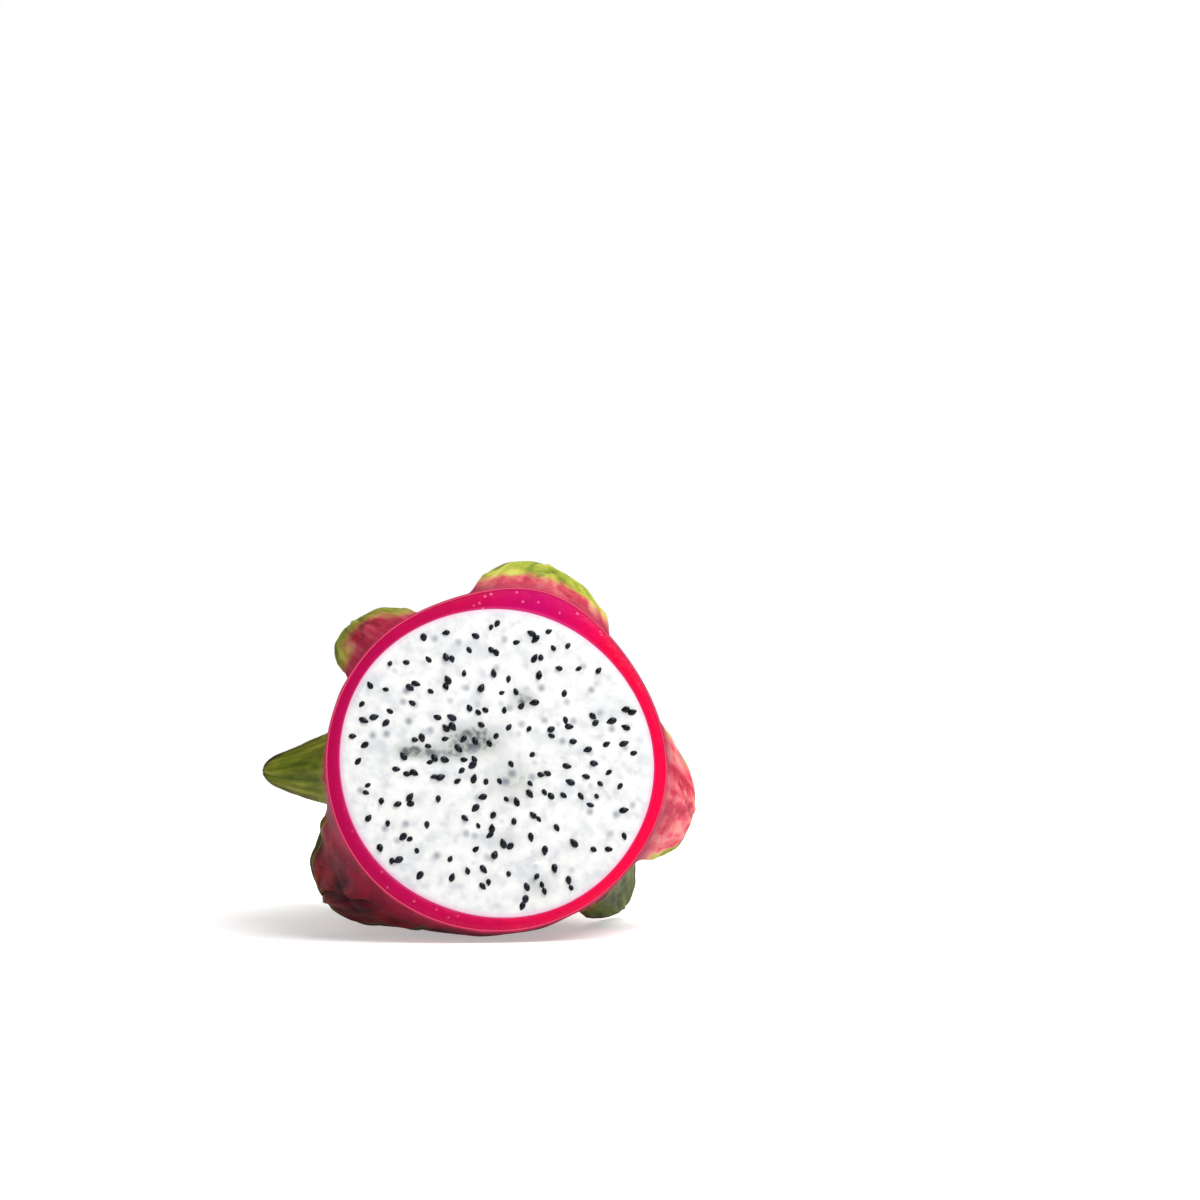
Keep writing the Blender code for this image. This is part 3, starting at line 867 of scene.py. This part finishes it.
def seed_mesh():
    """All the seeds as one mesh."""
    chance = random.Random(11)
    bm = bmesh.new()
    for x, z in seed_places(chance):
        size = chance.uniform(0.75, 1.1)
        length = SEED_LENGTH * size * chance.uniform(0.85, 1.05) / 2
        width = SEED_WIDTH * size / 2
        ball = bmesh.ops.create_uvsphere(bm, u_segments=8, v_segments=6, radius=1.0)["verts"]
        for vert in ball:
            # Drawn out towards +Z, which is the end that held it in the fruit.
            vert.co.xy *= 1 - 0.42 * max(0, vert.co.z + 0.2) ** 1.4
        bmesh.ops.scale(bm, vec=(width, 0.75 * width, length), verts=ball)
        turn = atan2(z, x) - pi / 2 + chance.gauss(0, 0.6) + pi * (chance.random() < POINTS_INWARDS)
        pitch = chance.uniform(-0.35, 0.35)
        bmesh.ops.rotate(bm, verts=ball, matrix=Matrix.Rotation(pitch, 3, "X"))
        bmesh.ops.rotate(bm, verts=ball, matrix=Matrix.Rotation(-turn, 3, "Y"))
        out = min(1.0, hypot(x, z) / flesh_edge(atan2(z, x)))
        surface = flesh_point(atan2(z, x), out, 0).y
        bmesh.ops.translate(bm, verts=ball, vec=(x, surface + chance.uniform(-0.12, 0.22) * MM, z))
    bm.transform(standing)
    bmesh.ops.recalc_face_normals(bm, faces=bm.faces)
    return mesh_of(bm, "seeds")


def wet_seed_coat():
    """Hard seed coat, wet with juice: blue-black, with small sharp highlights."""
    material, tree = blank_material("wet_seed_coat")
    spot = node(tree, "TexCoord").outputs["Object"]
    shade = node(tree, "TexNoise", {"Vector": spot, "Scale": 1 / (2.5 * MM), "Detail": 1.0})
    colour = node(tree, "ValToRGB", [shade], stops=((0.35, "040508"), (0.72, "1c2130")))
    pits = node(tree, "TexNoise", {"Vector": spot, "Scale": 1 / (0.3 * MM), "Detail": 1.0})
    bump = node(tree, "Bump", {"Height": pits, "Strength": 0.2, "Distance": 0.05 * MM})
    surface = {"Base Color": colour, "Roughness": 0.25, "IOR": 1.30, "Normal": bump}
    shader = node(tree, "BsdfPrincipled", surface)
    node(tree, "OutputMaterial", {"Surface": shader})
    return material


seeds = finished("seeds", seed_mesh(), wet_seed_coat())
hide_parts("dragon_fruit_half")
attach(seeds, "root")


# ----------------------------------------------------------------------------
# The flower scar: the dry, woody disc at the bottom of the pit between the upright bracts, where
# the flower withered and broke off. A ring of stubs is what is left of its stamens.
# ----------------------------------------------------------------------------
DISC_RADIUS = 4.6 * MM
DISC_THICKNESS = 1.6 * MM
DISC_SINK = 0.6 * MM  # of the disc into the bottom of the pit
STUB_RINGS = ((1.5 * MM, 7), (3.2 * MM, 15))  # radius of each ring of stubs, and how many
STUB_LENGTH = 2.6 * MM
STUB_BASE = 0.3 * MM  # above the bottom of the pit
STUB_RADIUS = 0.42 * MM
STUB_TIP_RADIUS = 0.18 * MM


def scar_mesh():
    """The disc, dished in its middle, and its stubs."""
    chance = random.Random(5)
    bm = bmesh.new()
    floor = HALF_LENGTH - SCAR_DEPTH
    upright = Matrix.Rotation(-pi / 2, 4, "X")  # from the cone's own +Z to the fruit's +Y
    middle = Matrix.Translation((0, floor + DISC_THICKNESS / 2 - DISC_SINK, 0))
    bmesh.ops.create_cone(
        bm,
        cap_ends=True,
        segments=36,
        radius1=DISC_RADIUS,
        radius2=0.85 * DISC_RADIUS,
        depth=DISC_THICKNESS,
        matrix=middle @ upright,
    )
    top = max(bm.faces, key=lambda face: face.calc_center_median().y)
    for inset in (1.2 * MM, 1.4 * MM):
        bmesh.ops.inset_region(bm, faces=[top], thickness=inset, depth=-0.35 * MM)
    for vert in bm.verts:
        vert.co.y += 0.25 * MM * noise.noise(vert.co / (1.5 * MM))
    for radius, count in STUB_RINGS:
        for k in range(count):
            angle = 2 * pi * k / count + chance.uniform(-0.15, 0.15)
            length = STUB_LENGTH * chance.uniform(0.5, 1.1)
            lean_out = Matrix.Rotation(chance.uniform(-0.3, 0.3), 4, "X")
            height = floor + STUB_BASE + length / 2
            foot = Matrix.Translation((radius * cos(angle), height, radius * sin(angle)))
            bmesh.ops.create_cone(
                bm,
                cap_ends=True,
                segments=6,
                radius1=STUB_RADIUS,
                radius2=STUB_TIP_RADIUS,
                depth=length,
                matrix=foot @ lean_out @ upright,
            )
    bm.transform(standing)
    bmesh.ops.recalc_face_normals(bm, faces=bm.faces)
    return mesh_of(bm, "flower_scar")


def withered_flower():
    """Dry plant matter, weathered: brown and fibrous, with no gloss."""
    material, tree = blank_material("withered_flower")
    spot = node(tree, "TexCoord").outputs["Object"]
    fibres = node(
        tree, "TexNoise", {"Vector": spot, "Scale": 1 / (1.3 * MM), "Detail": 4.0, "Distortion": 1.8}
    )
    colour = node(tree, "ValToRGB", [fibres], stops=((0.30, "24170c"), (0.75, "7d5f3d")))
    bump = node(tree, "Bump", {"Height": fibres, "Strength": 0.7, "Distance": 0.3 * MM})
    shader = node(tree, "BsdfPrincipled", {"Base Color": colour, "Roughness": 0.85, "Normal": bump})
    node(tree, "OutputMaterial", {"Surface": shader})
    return material


flower_scar = finished("flower_scar", scar_mesh(), withered_flower())
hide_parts("dragon_fruit_half")
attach(flower_scar, "root")


# ----------------------------------------------------------------------------
# The studio: a pale, faintly glossy floor, an even white room, a large soft light high on the right
# and weak ones on the left and at the back. The camera looks level towards the cut, from above its
# middle and a little to its left.
# ----------------------------------------------------------------------------
VIEW_DISTANCE = 0.8
VIEW_SIDE = radians(-5)
CAMERA_HEIGHT = 42.6 * MM  # above the cut's middle
CAMERA_PAN = radians(-6.96)
SENSOR_WIDTH = 36  # in millimetres, as the camera's own values are
FRAME_WIDTH = 316 * MM  # how much the camera sees at the cut, from side to side
FLOOR_RADIUS = 0.55
FLOOR_DROP = 0.05 * MM  # below the table's height, clear of what is pressed onto it

camera_data = bpy.data.cameras.new("camera")
camera_data.sensor_width = SENSOR_WIDTH
camera_data.lens = SENSOR_WIDTH * VIEW_DISTANCE / FRAME_WIDTH
camera = bpy.data.objects.new("camera", camera_data)
aside = VIEW_DISTANCE * Vector((sin(VIEW_SIDE), -cos(VIEW_SIDE), 0))
camera.location = cut_middle + aside + Vector((0, 0, CAMERA_HEIGHT))
camera.rotation_euler = (pi / 2, 0, CAMERA_PAN)
bpy.context.scene.collection.objects.link(camera)
bpy.context.scene.camera = camera
bpy.context.scene.view_settings.view_transform = "Standard"

floor_shape = bmesh.new()
bmesh.ops.create_circle(floor_shape, cap_ends=True, segments=96, radius=FLOOR_RADIUS)
bmesh.ops.translate(floor_shape, verts=floor_shape.verts, vec=(0, 0, -FLOOR_DROP))
floor_mesh = mesh_of(floor_shape, "floor")
floor_material, floor_tree = blank_material("white_acrylic_sheet")
matt = node(floor_tree, "BsdfDiffuse", {"Color": linear("f9f9f9")})
gloss = node(floor_tree, "BsdfGlossy", {"Color": linear("ffffff"), "Roughness": 0.25})
polished = node(floor_tree, "MixShader", (0.06, matt, gloss))
# It glows, though it is no lamp: painted light, most towards its edge, where the room's white takes
# over. The camera sees it glow a little brighter than it lights the fruit, which keeps the shadow soft.
floor_spot = node(floor_tree, "TexCoord").outputs["Object"]
far = node(floor_tree, "VectorMath", [floor_spot], operation="LENGTH").outputs["Value"]
lit = node(
    floor_tree, "MapRange", {"Value": far, "From Min": 0.09, "From Max": 0.40, "To Min": 0.10, "To Max": 0.8}
)
floor_seen = node(floor_tree, "LightPath").outputs["Is Camera Ray"]
lit = node(floor_tree, "Math", (floor_seen, 0.30, lit), operation="MULTIPLY_ADD")
under = node(floor_tree, "Emission", {"Strength": lit})
node(floor_tree, "OutputMaterial", {"Surface": node(floor_tree, "AddShader", (polished, under))})
finished("floor", floor_mesh, floor_material)

for name, place, size, power in (
    ("key_light", (0.42, -0.40, 0.92), 0.65, 11.5),
    ("fill_light", (-0.7, -0.6, 0.45), 0.6, 0.4),
    ("back_light", (0.2, 0.6, 0.9), 0.6, 1.2),
):
    lamp = bpy.data.lights.new(name, "AREA")
    lamp.size = size
    lamp.energy = power
    light = bpy.data.objects.new(name, lamp)
    light.location = place
    light.rotation_euler = (cut_middle - Vector(place)).to_track_quat("-Z", "Y").to_euler()
    bpy.context.scene.collection.objects.link(light)

# The room is seen white and lights less than it shows.
room = bpy.data.worlds.new("white_room")
bpy.context.scene.world = room
room.use_nodes = True
room.node_tree.nodes.clear()
seen = node(room.node_tree, "LightPath").outputs["Is Camera Ray"]
strength = node(room.node_tree, "MapRange", {"Value": seen, "To Min": 0.24, "To Max": 1.0})
glow = node(room.node_tree, "Background", {"Color": linear("ffffff"), "Strength": strength})
node(room.node_tree, "OutputWorld", {"Surface": glow})
